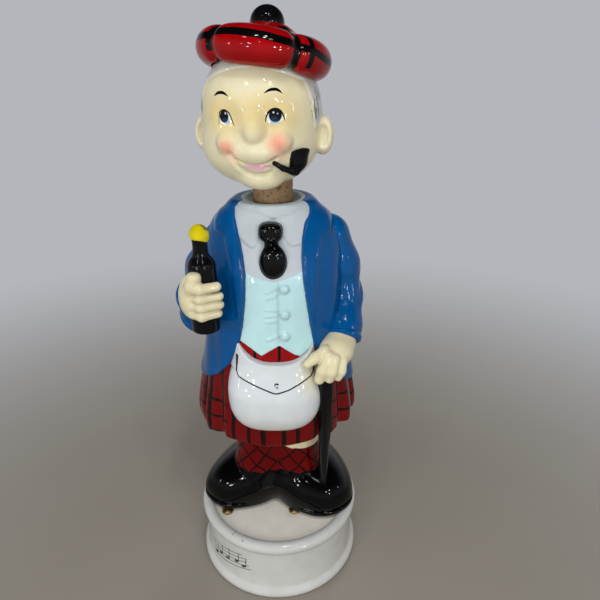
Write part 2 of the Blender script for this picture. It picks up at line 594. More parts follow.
def trunkField(x, y, z):
    coat, vest, front = coatEdge(x, y, z), vestChart(x, z), ramp(*trunk["front"], y)
    shown = front * ramp(1, -1, coat)     # where the coat stands open
    height = trunk["coatThick"] * ramp(-0.7, 0.7, coat) + trunk["vestThick"] * ramp(-0.7, 0.7, vest) * shown
    for leaf in collarCharts:
        height = height + trunk["collarThick"] * ramp(-0.8, 0.8, leaf(x, z)) * shown
    for lapel in lapelCharts:
        height = height + trunk["lapelThick"] * ramp(-0.9, 0.9, lapel(x, z)) * front * ramp(-0.5, 0.5, coat)
    height = height + ramp(0.4, -0.6, coat) * ramp(*trunk["kiltFrom"], z) * pleatWave(x, y, z)
    drape = np.sin(0.62 * x + 0.035 * z) * ramp(*trunk["drapeSides"], np.abs(x))
    drape = drape * ramp(*trunk["drapeFall"], z)
    height = height + trunk["drapeDeep"] * drape * front * ramp(0, 3, coat)
    seam = ramp(trunk["placketHalf"], 0.1, np.abs(x - trunk["placket"]))
    height = height - trunk["placketDeep"] * seam * shown * ramp(0, 1, vest)
    for crease in trunk["creases"]:
        height = height + trunk["creaseHigh"] * ramp(trunk["creaseHalf"], 0.1, lineGap(x, z, crease)) * front
    roll = ramp(trunk["rollHalf"], 0.1, lineGap(x, z, trunk["rollLine"]))
    whole = trunkBare(x, y, z) - height + trunk["rollDeep"] * roll * front
    for a, b in trunk["buttons"]:
        depth = -between(np.array([b]), trunk["levels"], trunk["halfDepths"])[0] - trunk["buttonSunk"]
        whole = joined(whole, ball(x, y, z, (a, depth, b), trunk["button"]), trunk["buttonBlend"])
    whole = joined(whole, tieField(x, y, z), trunk["tieBlend"])
    whole = shared(whole, z - trunk["top"], trunk["topEdge"])
    r, bore, foot = np.hypot(x, y), trunk["neckBore"], trunk["funnelFoot"]
    whole = carved(whole, np.maximum(r - bore, trunk["boreFoot"] - z), trunk["boreEdge"])
    opening = bore + (trunk["funnelWide"] - bore) * ramp(foot, foot + trunk["funnelRise"], z)
    whole = carved(whole, np.maximum(r - opening, foot - z), trunk["funnelEdge"])
    hem = between(turnOf(x, y), trunk["hemTurns"], trunk["hem"])
    whole = shared(whole, hem - z, trunk["hemEdge"])
    under = np.maximum(trunkBare(x, y, z) + trunk["hemInset"], z - hem - trunk["hemDeep"])
    return carved(whole, under, trunk["hemHollow"])


def trunkPaint(x, y, z):
    coat, vest, tie = coatEdge(x, y, z), vestChart(x, z), tieField(x, y, z) - trunk["tieOver"]
    turn, knots = turnOf(x, y), np.arange(len(trunk["stripeTurns"]))
    return {"coat": coat + trunk["coatOver"], "vest": vest, "tie": -tie, "skirt": trunk["skirtTop"] - z,
            "shirt": np.min([-coat, -vest, tie, z - trunk["waistTop"]], 0),
            "tartan": np.interp(turn, trunk["stripeTurns"], knots), "turn": np.abs(turn)}


def tartanMarks(tree, height):
    # painted plaid: upright stripes in the folds, short bars across on the sides
    fields = ("tartan", "turn")
    tartan, turn = (addNode(tree, "Attribute", {"attribute_name": field}, "Fac") for field in fields)
    off = gathered(tree, "PINGPONG", (strayed(tree, tartan, 0.24, 12.0), 0.5))
    upright = addNode(tree, "MapRange", {0: off, 1: 0.145, 2: 0.115})
    high = strayed(tree, height, 3.0, 9.0)
    bars = []
    for level in trunk["barLevels"]:
        away = addNode(tree, "Math", {"operation": "ABSOLUTE", 0: gathered(tree, "SUBTRACT", (high, level))})
        bars.append(gathered(tree, "SUBTRACT", (trunk["barHalf"], away)))
    bars = addNode(tree, "MapRange", {0: gathered(tree, "MAXIMUM", bars), 1: -0.12, 2: 0.12})
    sides = addNode(tree, "MapRange", {0: turn, 1: 38, 2: 41})
    return gathered(tree, "MAXIMUM", (upright, gathered(tree, "MULTIPLY", (bars, sides))))


def clothBlue(tree):
    # blue brushed on in upright streaks
    return coats(tree, trunk["blue"], (trunk["blueLight"], grain(tree, 11.0, 4, (1, 1, 0.4)), 0.4))


def trunkGlaze():
    # underglaze colours brushed on the bisque: solid, slightly streaky, wandering where two meet
    material, tree = newMaterial("painted_earthenware_dress")
    plan, height = frontPlan(tree)
    fields = ("vest", "shirt")
    vest, shirt = (addNode(tree, "Attribute", {"attribute_name": field}, "Fac") for field in fields)
    low = gathered(tree, "SUBTRACT", (trunk["waistTop"], height))
    belt = gathered(tree, "MINIMUM", (low, gathered(tree, "MULTIPLY", (vest, -1.0))))
    bars = inkMarks(tree, plan, [(*bar, *trunk["waistBarHalf"]) for bar in trunk["waistBars"]])
    aqua = coats(tree, trunk["aqua"], (trunk["aquaLight"], grain(tree, 10.0, 3, (1, 1, 0.35))))
    band = coats(tree, trunk["red"], (trunk["redDeep"], grain(tree, 7.0, 3)), (trunk["black"], bars))
    kilt = coats(tree, trunk["kilt"], (trunk["kiltDeep"], grain(tree, 9.0, 3, (1, 1, 0.3))),
                 (trunk["black"], tartanMarks(tree, height), 0.93))
    colour = coats(tree, trunk["shirt"], (trunk["shirtShade"], grain(tree, 18.0, 3)),
                   (aqua, edged(tree, vest)),
                   (band, edged(tree, belt)), (kilt, edged(tree, "skirt")),
                   (trunk["black"], edged(tree, "tie", 0.12, 0.1)),
                   (clothBlue(tree), edged(tree, "coat", 0.15, 0.25)))
    linen = addNode(tree, "MapRange", {0: shirt, 1: 0.0, 2: 0.5})
    fired(tree, colour, 0.22, 0.25, satin=linen)
    return material


# arms: sleeves that hug the coat, open at the cuff
sleeve = {"blend": 5.0, "rimBand": 3.2, "rimThick": 0.8, "rimSoft": 0.5, "foldDeep": 0.7, "foldSpread": 190.0,
          "cuffEdge": 1.0, "cuffDeep": 2.2, "wall": 2.4, "wallEdge": 0.8, "seat": 0.35}
rightSleeve = {"room": ((-52, -38, 168), (-16, 14, 238)), "step": 0.7, "cuffAt": (-38.9, -24.5, 198.6),
               "cuffWay": (0.12, -0.86, 0.5),
               "points": ((-26.6, 0, 220.6, 11.4), (-36.8, -3, 206, 10.8), (-40.0, -13, 183.4, 10.2),
                          (-39.6, -20, 196.0, 9.6))}
leftSleeve = {"room": ((16, -34, 158), (50, 14, 238)), "step": 0.7, "cuffAt": (36.8, -20.5, 170.0),
              "cuffWay": (-0.12, -0.68, -0.72),
              "points": ((29.2, 0, 223.2, 11.7), (35.6, 0, 207, 10.6), (38.0, -3, 188, 10.2),
                         (37.8, -14.5, 176.5, 9.6))}


def sleeveField(part):
    way = np.array(part["cuffWay"]) / np.linalg.norm(part["cuffWay"])
    run = part["points"] + ((*part["cuffAt"], part["points"][-1][3]),)
    bend, band, soft = part["points"][2], -sleeve["rimBand"], sleeve["rimSoft"]

    def field(x, y, z):
        arm = chain(x, y, z, run, sleeve["blend"])
        beyond = past(x, y, z, part["cuffAt"], way)
        arm = arm - sleeve["rimThick"] * ramp(band - soft, band + soft, beyond)
        near = np.exp(-((x - bend[0]) ** 2 + (y - bend[1]) ** 2 + (z - bend[2]) ** 2) / sleeve["foldSpread"])
        arm = arm - sleeve["foldDeep"] * near * np.sin((z * 0.8 - y * 0.9) * 0.9 + 0.35 * x)
        arm = shared(arm, beyond, sleeve["cuffEdge"])
        hollow = np.maximum(arm + sleeve["wall"], -beyond - sleeve["cuffDeep"])
        arm = carved(arm, hollow, sleeve["wallEdge"])
        return np.maximum(arm, -(trunkField(x, y, z) + sleeve["seat"]))
    return field


def sleeveGlaze():
    # the coat's own blue, streaky along the arm and paler on the ridges
    material, tree = newMaterial("painted_earthenware_sleeve")
    fired(tree, clothBlue(tree), 0.25, 0.25)
    return material


# small bottle, capped
bottle = {"room": ((-42, -42, 184), (-27, -27, 237)), "step": 0.4, "axis": (-33.9, -34.5), "footEdge": 0.9,
          "topEdge": 0.6,
          "levels": (184.4, 217, 219.4, 221.6, 223.4, 224.6, 226, 236),
          "radii": (7.1, 7.1, 6.95, 6.3, 5.1, 4.25, 3.9, 3.85)}
cap = {"room": ((-40, -40, 231), (-28, -28, 243)), "step": 0.4, "centre": (-33.9, -34.5, 234.4),
       "radii": (4.9, 4.9, 5.7),
       "foot": 233.0, "slope": 0.3, "drip": 0.4, "edge": 0.9, "seat": 0.2, "smear": (-30.7, -33.3, 239.0),
       "smearWide": 3.0,
       "yellow": "#DCCB08", "thin": "#B8AC10", "olive": "#4E5220"}


def bottleField(x, y, z):
    a, b = bottle["axis"]
    side = np.hypot(x - a, y - b) - between(z, bottle["levels"], bottle["radii"])
    whole = shared(side, bottle["levels"][0] - z, bottle["footEdge"])
    return shared(whole, z - bottle["levels"][-1], bottle["topEdge"])


def capField(x, y, z):
    u, v = x - bottle["axis"][0], y - bottle["axis"][1]
    drip = cap["foot"] - cap["slope"] * u + cap["drip"] * np.sin(3 * np.arctan2(u, -v) + 0.7)
    crown = shared(ball(x, y, z, cap["centre"], cap["radii"]), drip - z, cap["edge"])
    return carved(crown, bottleField(x, y, z), cap["seat"])


def capGlaze():
    # bright yellow glaze brushed thin, an olive smear where it ran
    material, tree = newMaterial("yellow_glaze_cap")
    spot = tuple(c * mm for c in cap["smear"])
    place = addNode(tree, "TexCoord", {}, "Object")
    gap = addNode(tree, "VectorMath", {"operation": "DISTANCE", 0: place, 1: spot}, 1)
    gap = gathered(tree, "MULTIPLY", (gap, 1 / mm))
    smear = edged(tree, gathered(tree, "SUBTRACT", (cap["smearWide"], gap)), 0.6, 0.8, 2.5)
    colour = coats(tree, cap["yellow"], (cap["thin"], grain(tree, 6.0, 3)), (cap["olive"], smear, 0.8))
    fired(tree, colour, 0.5, 0.1)
    return material


# hands: one grips the bottle, the other rests on the stick
grip = {"room": ((-50, -50, 188), (-20, -20, 223)), "step": 0.42,
        "palm": ((-39.4, -35.2, 203.0), (6.9, 8.0, 12.0)),
        "knuckle": (-39.0, -40.0), "fingerRadius": 2.65, "fingerDrop": 0.6, "fingerOut": 9.3, "tipOut": 6.4,
        "tipRise": 0.4,
        "tipThin": 0.3, "fingerLevels": (210.4, 205.4, 200.8, 196.2), "tips": (-26.2, -25.4, -25.4, -26.4),
        "fingerBend": 1.4, "fingerBlend": 0.8, "seat": 0.2, "thumbTop": 218.6, "thumbBend": 1.5,
        "thumbEdge": 1.2,
        "thumbBlend": 0.9,
        "thumb": ((-41.0, -38.0, 206, 4.3), (-37.4, -41.8, 211.5, 3.9), (-36.6, -42.2, 215.8, 3.6))}
rest = {"room": ((14, -46, 154), (48, -14, 180)), "step": 0.42,
        "palm": ((33.2, -29.8, 168.8), (9.6, 10.4, 8.4)),
        "wrist": (((36.0, -22, 170.5), (8.6, 8.5, 8.4), 4.0),), "fingerBend": 1.6, "fingerBlend": 1.0,
        "seat": 0.3,
        "fingers": (((27.0, -37.0, 172.6, 3.2), (22.0, -40.2, 170.0, 2.8), (17.9, -41.6, 167.4, 2.2)),
                    ((28.5, -39.4, 171.0, 3.3), (26.0, -42.6, 164.5, 3.2), (24.2, -42.4, 158.8, 2.8)),
                    ((32.0, -40.0, 169.4, 3.2), (30.6, -43.0, 164.0, 3.0), (29.4, -42.4, 159.4, 2.7)),
                    ((36.0, -38.4, 167.6, 3.0), (35.2, -41.0, 163.0, 2.7), (33.9, -41.0, 159.4, 2.4)))}


def gripField(x, y, z):
    hand = ball(x, y, z, *grip["palm"])
    (ax, ay), r = bottle["axis"], grip["fingerRadius"]
    for level, tip in zip(grip["fingerLevels"], grip["tips"]):
        points = ((*grip["knuckle"], level - grip["fingerDrop"], r), (ax, ay - grip["fingerOut"], level, r),
                  (tip, ay - grip["tipOut"], level + grip["tipRise"], r - grip["tipThin"]))
        hand = joined(hand, chain(x, y, z, points, grip["fingerBend"]), grip["fingerBlend"])
    thumb = shared(chain(x, y, z, grip["thumb"], grip["thumbBend"]), z - grip["thumbTop"], grip["thumbEdge"])
    hand = joined(hand, thumb, grip["thumbBlend"])
    return np.maximum(hand, -(bottleField(x, y, z) + grip["seat"]))


def restField(x, y, z):
    hand = heaped(ball(x, y, z, *rest["palm"]), x, y, z, rest["wrist"])
    for points in rest["fingers"]:
        hand = joined(hand, chain(x, y, z, points, rest["fingerBend"]), rest["fingerBlend"])
    return np.max([hand, -(trunkField(x, y, z) + rest["seat"]), -(sporranField(x, y, z) + rest["seat"])], 0)


stick = {"room": ((22, -46, 64), (36, -14, 167)), "step": 0.5, "head": (27.4, -39.4, 164.0),
         "foot": (28.6, -19.6, 66.0),
         "levels": (55, 80, 100, 112, 130, 156, 166), "radii": (2.4, 2.7, 3.1, 3.6, 4.1, 4.5, 4.5),
         "flutes": 5, "fluteDeep": 0.22, "fluteTwist": 0.05, "fluteFrom": (96, 120), "footEdge": 1.0,
         "headEdge": 1.5}


def stickField(x, y, z):
    (a, b, c), (d, e, f) = stick["foot"], stick["head"]
    t = (z - c) / (f - c)
    u, v = x - a - (d - a) * t, y - b - (e - b) * t
    flute = np.cos(stick["flutes"] * np.arctan2(u, -v) + z * stick["fluteTwist"])
    flute = flute * ramp(*stick["fluteFrom"], z)
    side = np.hypot(u, v) - between(z, stick["levels"], stick["radii"]) - stick["fluteDeep"] * flute
    return shared(shared(side, c - z, stick["footEdge"]), z - f, stick["headEdge"])


# pouch: a pressed bag with a flap drawn on it
sporran = {
    "room": ((-27, -50, 121), (27, -12, 184)), "step": 0.6, "centre": (0.4, -31.5, 147.4),
    "radii": (25.4, 16.4, 25.4),
    "squareness": 2.8, "upperHalf": 45.0, "lean": 7.0, "leanRise": (146, 166), "drawn": 0.13,
    "drawnRise": (148, 170),
    "topMid": 165.0, "topAt": 2.0, "topRise": 9.5, "topReach": 20.0, "topEdge": 1.2, "flapThick": 0.5,
    "seat": 0.4,
    "flap": ((-18.9, 169.0), (-19.4, 161.0), (-18.2, 158.8), (-13.3, 157.3), (-4.5, 154.2), (0, 152.6),
             (1.6, 152.3),
             (3.2, 152.5), (8.2, 153.9), (15, 156.8), (19.8, 158.8), (21, 160.2), (21.6, 163.5)),
    "lineHalf": 0.42,
    "dabs": ((-18.9, 169.0, -19.2, 164.0, 0.75, 0.5), (1.2, 157.0, 2.6, 156.8, 0.3, 0.42),
             (1.2, 157.0, 1.0, 155.8, 0.3, 0.22), (1.6, 155.2, 2.6, 155.3, 0.2, 0.3)),
    "aged": ((21.5, 160.5), (6.5, 9.5), 0.9), "fade": (138, 124),
    "white": "#D1D6D9", "cream": "#C9C7B6", "stain": "#D6C99C",
}


def sporranField(x, y, z):
    back = sporran["lean"] * ramp(*sporran["leanRise"], z)
    across = x * (1 + sporran["drawn"] * ramp(*sporran["drawnRise"], z))
    middle, half = sporran["centre"][2], sporran["radii"][2]
    level = np.where(z > middle, middle + (z - middle) * half / sporran["upperHalf"], z)
    pouch = puff(across, y - back, level, sporran["centre"], sporran["radii"], sporran["squareness"])
    off = np.abs(x - sporran["topAt"]) / sporran["topReach"]
    pouch = shared(pouch, z - sporran["topMid"] - sporran["topRise"] * off ** 3, sporran["topEdge"])
    places, levels = zip(*sporran["flap"][1:-1])
    pouch = pouch - sporran["flapThick"] * ramp(-0.7, 0.7, z - np.interp(x, places, levels))
    return np.maximum(pouch, -(trunkBare(x, y, z) + sporran["seat"]))


def sporranGlaze():
    # white glaze over the pouch, one thin brushed line round the flap, a dab for the stud
    material, tree = newMaterial("glazed_earthenware_pouch")
    plan, height = frontPlan(tree)
    low, high = sporran["fade"]
    fade = addNode(tree, "MapRange", {0: height, 1: low, 2: high})
    flap, half = sporran["flap"], sporran["lineHalf"]
    lines = [(*a, *b, half, half) for a, b in zip(flap, flap[1:])] + list(sporran["dabs"])
    colour = coats(tree, sporran["white"], (sporran["cream"], fade, 0.8),
                   (sporran["stain"], inkSpot(tree, plan, *sporran["aged"]), 0.65),
                   (trunk["black"], inkMarks(tree, plan, lines, 0.14)))
    fired(tree, colour, 0.35, 0.05)
    return material


# legs: two wide shoes on a welted sole, turned out, with socks above
shoes = {
    "room": ((-52, -36, 44.9), (52, 52, 114)), "step": 0.8, "centres": ((-18.6, 9.9), (18.6, 9.9)),
    "splays": (38, -38),
    "stance": -7, "halfLength": 37.4, "halfWidth": 25.5, "height": 29.0, "sole": 44.95, "soleEdge": 1.4,
    "side": 5.0,
    "welt": 49.4, "weltDeep": 1.1, "weltEdge": 0.8, "squareness": 2.25, "puff": 2.7, "pairBlend": 3.5,
    "heelDome": ((1.2, -20.0, 45.0), (52.0, 72.0, 36.0)), "heelBlend": 4.0,
    "insteps": (((-13.6, -2.0, 58.0), (16.0, 17.5, 18.5), 9.0), ((13.6, -2.0, 58.0), (16.0, 17.5, 18.5), 9.0),
                ((0.8, 0.5, 52.0), (8.0, 8.5, 12.0), 4.0)),
    "legAt": ((-12.4, -3.5), (12.8, -3.5)), "legRadius": 13.0, "legTop": 113.5, "legFoot": 60.0,
    "legEdge": 1.0,
    "calf": 1.2, "calfRise": (92, 112), "ankle": 1.4, "ankleFall": (86, 74), "legsBlend": 8.0,
    "shoeBlend": 1.0,
    "sockTops": (107.5, 91.0), "sockThick": 0.8, "sockFoot": 73.5, "throat": 2.9, "throatHalf": 9.0,
    "throatMid": 76.0,
    "throatTop": 90.0, "tongueHalf": 14.0, "tongueBack": 4.0, "crossEvery": 10.5, "crossSlope": 0.8,
    "skin": "#E4DCBA", "skinShade": "#D6C99C", "red": "#6C0305", "redDeep": "#5C0305", "black": "#060607",
}


def shoeField(x, y, z):
    x, y = swing(x, y, shoes["stance"])
    (a, b, c), radii = shoes["heelDome"]
    low = ball(x, np.maximum(y, b), z, (a, b, c), radii)     # falls away behind the toes
    n, p, side = shoes["squareness"], shoes["puff"], shoes["side"]
    rise = np.maximum(z - shoes["sole"] - side, 0) / (shoes["height"] - side)
    pair = None
    for (a, b), splay in zip(shoes["centres"], shoes["splays"]):
        u, v = swing(x - a, y - b, -splay)
        plan = (np.abs(u / shoes["halfWidth"]) ** n + np.abs(v / shoes["halfLength"]) ** n) ** (1 / n)
        dome = ((plan ** p + rise ** p) ** (1 / p) - 1) * shoes["halfWidth"]
        dome = shared(dome, low, shoes["heelBlend"])
        shoe = carved(dome, np.hypot(dome, z - shoes["welt"]) - shoes["weltDeep"], shoes["weltEdge"])
        pair = shoe if pair is None else joined(pair, shoe, shoes["pairBlend"])
    pair = heaped(pair, x, y, z, shoes["insteps"])
    return shared(pair, shoes["sole"] - z, shoes["soleEdge"])


def legsField(x, y, z):
    legs = None
    for (a, b), sockTop in zip(shoes["legAt"], shoes["sockTops"]):
        leg = np.hypot(x - a, y - b) - shoes["legRadius"]
        leg = leg - shoes["calf"] * ramp(*shoes["calfRise"], z)
        leg = leg - shoes["ankle"] * ramp(*shoes["ankleFall"], z)
        leg = leg - shoes["sockThick"] * ramp(sockTop + 0.6, sockTop - 0.6, z)
        leg = shared(leg, z - shoes["legTop"], shoes["legEdge"])
        legs = leg if legs is None else joined(legs, leg, shoes["legsBlend"])
    legs = np.maximum(legs, shoes["legFoot"] - z)
    return joined(shoeField(x, y, z), legs, shoes["shoeBlend"])


def legsPaint(x, y, z):
    right = x > 0
    ((leftAt, depth), (rightAt, _)), (leftTop, rightTop) = shoes["legAt"], shoes["sockTops"]
    around = np.arctan2(x - np.where(right, rightAt, leftAt), depth - y) * shoes["legRadius"]
    low = shoes["sockFoot"] + 0.7 * np.sin(x * 0.8) - 0.5 * ramp(6, 0, np.abs(x))
    off = np.min([np.hypot(x - a, y - b) for a, b in shoes["legAt"]], 0)
    off = off - shoes["legRadius"] - shoes["throat"]
    below = z < np.where(np.abs(x) < shoes["throatHalf"], shoes["throatMid"], shoes["throatTop"])
    beside = (np.abs(x) > shoes["tongueHalf"]) | (y > shoes["tongueBack"])
    return {"shoe": np.maximum(low - z, np.where(below & beside, off, wellIn)),
            "sock": np.where(right, rightTop, leftTop) - z, "cross": np.stack([around, z, 0 * z], 1)}


def shoeGlaze():
    # black gloss shoes, red socks with brushed crosses, bare knee in the skin tone
    material, tree = newMaterial("painted_earthenware_legs")
    cross = addNode(tree, "Attribute", {"attribute_name": "cross"}, "Vector")
    around, up = (addNode(tree, "SeparateXYZ", {0: cross}, axis) for axis in (0, 1))
    marks = []
    for slope in (shoes["crossSlope"], -shoes["crossSlope"]):
        slant = addNode(tree, "Math", {"operation": "MULTIPLY_ADD", 0: up, 1: slope, 2: around})
        marks.append(gathered(tree, "PINGPONG", (strayed(tree, slant, 3.0, 8.0), shoes["crossEvery"] / 2)))
    marks = addNode(tree, "MapRange", {0: gathered(tree, "MINIMUM", marks), 1: 0.85, 2: 0.6})
    sock = coats(tree, shoes["red"], (shoes["redDeep"], grain(tree, 7.0, 3)), (shoes["black"], marks, 0.92))
    colour = coats(tree, shoes["skin"], (shoes["skinShade"], grain(tree, 12.0, 3)),
                   (sock, edged(tree, "sock", 0.15, 0.4)), (shoes["black"], edged(tree, "shoe", 0.15, 0.5)))
    fired(tree, colour, 0.4, 0.1, glaze["blackIor"])
    return material


# head: the stopper's face, turned a little to its right
head = {
    "room": ((-43, -38, 248), (34, 34, 321)), "step": 0.5, "centre": (-4.6, 0, 281.5), "turn": -9,
    "skull": ((0, 0, 4.0), (29.0, 28.6, 33.0)),
    "jawAndChin": (((-1.0, -3.6, -11.4), (27.6, 24.0, 17.4), 7.0),
                   ((3.0, -16.8, -23.4), (10.0, 8.2, 5.8), 4.0)),
    "sockets": ((-11.6, -35.0, 5.6), (11.6, -35.0, 6.2)), "socketRadii": (8.9, 8.9, 8.9), "socketBlend": 5.0,
    "lipAndCheeks": (((2.8, -21.6, -9.4), (11.2, 9.4, 7.0), 2.2),
                     ((-10.6, -23.4, -6.2), (5.8, 5.8, 5.8), 1.6),
                     ((13.2, -22.4, -5.2), (5.7, 5.7, 5.7), 1.6)),
    "bridge": ((1.4, -24.2, 7.0), (2.2, -27.0, 1.0), 2.6, 4.0), "bridgeBlend": 5.0,
    "nose": (((2.1, -27.2, -1.3), (4.4, 4.8, 4.7), 1.9),),
    "lowerLip": (((3.2, -23.0, -17.4), (6.4, 3.8, 2.2), 1.2),),
    "smile": ((-9.4, -10.8), (-5.9, -16.3), (-2.5, -19.0), (2.3, -20.2), (6.7, -19.4), (9.4, -17.2)),
    "smileDeep": 0.9, "smileHalf": 2.4, "mouthDeep": 0.8, "mouthHalf": 1.3, "face": (-6, -14),
    "mouth": ((-6.7, -13.2), (-1.5, -14.9), (3.3, -15.5), (8.0, -14.3), (12.3, -12.0)),
    "ears": ((-29.8, 1.5, -5.8), (30.2, 1.0, -5.6)), "earRadii": (5.4, 5.2, 9.4), "earBlend": 1.8,
    "cupOff": (0.6, -5.4, 0.6), "cupRadii": (3.2, 3.6, 6.2), "cupEdge": 1.2, "earPaint": 0.6,
    "corkHole": 10.7, "corkTop": 263.0, "corkEdge": 1.0, "hairThick": 0.7, "hairRim": 26.4,
    "hairDrop": 0.0117,
    "hairline": [(-12.6, 40), (-12.2, 22), (-11.3, 10), (-10.6, 2), (-9.2, -1.2), (-7.2, -1.6), (-5.2, 0.2),
                 (-3.4, 3), (0, 4.4), (3.6, 3.6), (6.4, 0), (8.4, -6), (11, -11), (15, -14), (22, -15.2),
                 (40, -15.6), (40, 40)],
    "templeAt": (27.2, -6.0, 8.5), "templeSpread": (2.2, 7.0, 8.0), "frontPaint": (-6, -12),
    "eyes": ((-12.0, 5.5), (11.7, 6.3)),
    "ovals": (  # which eye, place from its middle, radii, softness, colour, share
        (0, (0.5, -0.7), (2.85, 3.0), 0.08, "eyeWhite", 1.0),
        (0, (1.3, -2.0), (1.5, 1.3), 0.3, "irisLight", 0.9),
        (0, (0.0, 0.0), (2.2, 2.65), 0.08, "ink", 1.0), (0, (0.3, -1.5), (1.1, 0.8), 0.6, "irisBlue", 0.5),
        (0, (0.8, 1.4), (0.42, 0.46), 0.3, "eyeWhite", 0.75),
        (1, (-0.2, -0.4), (3.6, 3.2), 0.07, "eyeWhite", 1.0),
        (1, (-0.2, -2.5), (2.4, 1.1), 0.3, "irisLight", 0.9), (1, (0.0, 0.1), (2.85, 2.8), 0.07, "ink", 1.0),
        (1, (-0.5, -1.4), (1.5, 1.0), 0.6, "irisBlue", 0.5),
        (1, (-0.8, 1.4), (0.42, 0.42), 0.3, "eyeWhite", 0.75),
        (1, (1.0, 0.9), (0.33, 0.33), 0.3, "eyeWhite", 0.6)),
    "sprays": (  # place, radii, softness, colour, share
        ((-12.0, 6.0), (9.2, 8.2), 0.88, "warm", 0.8), ((11.7, 6.8), (9.2, 8.2), 0.88, "warm", 0.8),
        ((1.0, 8.5), (5.0, 6.0), 0.9, "warm", 0.5), ((-11.0, -7.4), (3.0, 2.9), 0.8, "blush", 0.85),
        ((13.2, -5.4), (4.0, 3.8), 0.8, "blush", 0.85), ((-8.0, -12.5), (2.6, 3.0), 0.9, "blush", 0.35),
        ((13.0, -11.5), (3.4, 2.6), 0.9, "blush", 0.3)),
    "lips": ((-2.6, -15.4, 0.6, -16.6, 0.3, 1.0), (0.6, -16.6, 5.0, -16.8, 1.0, 1.05),
             (5.0, -16.8, 9.0, -15.2, 1.05, 0.3)),
    "lines": (((-16.8, 14.1, 0.25), (-15.2, 15.2, 0.6), (-13.0, 15.6, 0.68), (-11.2, 15.2, 0.5),
               (-9.4, 14.2, 0.12)),
              ((7.2, 15.9, 0.2), (9.2, 17.0, 0.58), (11.4, 17.3, 0.65), (13.0, 16.8, 0.5),
               (14.5, 15.6, 0.12)),
              ((-14.3, 7.2, 0.22), (-14.8, 1.8, 0.12)), ((-9.4, 7.0, 0.34), (-7.0, 2.0, 0.18)),
              ((-14.2, 7.2, 0.22), (-12.8, 8.2, 0.34), (-11.0, 8.2, 0.34), (-9.4, 7.0, 0.34)),
              ((7.5, 4.0, 0.16), (8.0, 6.4, 0.36), (9.0, 8.0, 0.5), (10.5, 8.9, 0.6), (12.2, 9.1, 0.6),
               (13.8, 8.4, 0.5), (15.0, 6.8, 0.36), (15.9, 4.2, 0.14))),
    "skin": "#E9E3C2", "skinShade": "#E1D7B2", "warm": "#DEC47E", "blush": "#EE9A84", "lipPink": "#E6A9C0",
    "eyeWhite": "#E6EBEA", "irisLight": "#9BBBCB", "irisBlue": "#2C4660", "ink": "#0B0C12", "hair": "#E0DDD2",
    "hairShade": "#C9C8C6", "hairGrey": "#77777C",
}
hairChart = chart(head["hairline"], (-40, -50), (40, 45))


def headLocal(x, y, z):
    u, v = swing(x - head["centre"][0], y - head["centre"][1], head["turn"])
    return u, v, z - head["centre"][2]


def hairEdge(u, v, w):
    # above zero on the hair: a rim below the tam, and an outline round each ear seen from the side
    return np.maximum(w - head["hairRim"] + head["hairDrop"] * u ** 2, hairChart(v, w))


def headField(x, y, z):
    u, v, w = headLocal(x, y, z)
    whole = heaped(ball(u, v, w, *head["skull"]), u, v, w, head["jawAndChin"])
    for spot in head["sockets"]:
        whole = carved(whole, ball(u, v, w, spot, head["socketRadii"]), head["socketBlend"])
    whole = heaped(whole, u, v, w, head["lipAndCheeks"])
    whole = joined(whole, limb(u, v, w, *head["bridge"]), head["bridgeBlend"])
    whole = heaped(whole, u, v, w, head["nose"])
    smile = head["smileDeep"] * ramp(head["smileHalf"], 0, lineGap(u, w, head["smile"]))
    mouth = head["mouthDeep"] * ramp(head["mouthHalf"], 0, lineGap(u, w, head["mouth"]))
    whole = heaped(whole + ramp(*head["face"], v) * (smile + mouth), u, v, w, head["lowerLip"])
    whole = whole - head["hairThick"] * ramp(-0.7, 0.7, hairEdge(u, v, w))
    a, b, c = head["cupOff"]
    for spot in head["ears"]:
        cup = (spot[0] + math.copysign(a, spot[0]), spot[1] + b, spot[2] + c)
        ear, hollow = ball(u, v, w, spot, head["earRadii"]), ball(u, v, w, cup, head["cupRadii"])
        whole = joined(whole, carved(ear, hollow, head["cupEdge"]), head["earBlend"])
    return carved(whole, np.maximum(np.hypot(x, y) - head["corkHole"], z - head["corkTop"]), head["corkEdge"])


def headPaint(x, y, z):
    u, v, w = headLocal(x, y, z)
    ear = np.min([ball(u, v, w, spot, head["earRadii"]) for spot in head["ears"]], 0)
    temple = [(p - c) / s for p, c, s in zip((np.abs(u), v, w), head["templeAt"], head["templeSpread"])]
    return {"plan": np.stack([u, w, 0 * w], 1), "front": ramp(*head["frontPaint"], v),
            "hair": np.minimum(hairEdge(u, v, w), ear - head["earPaint"]),
            "temple": np.exp(-sum(t ** 2 for t in temple))}


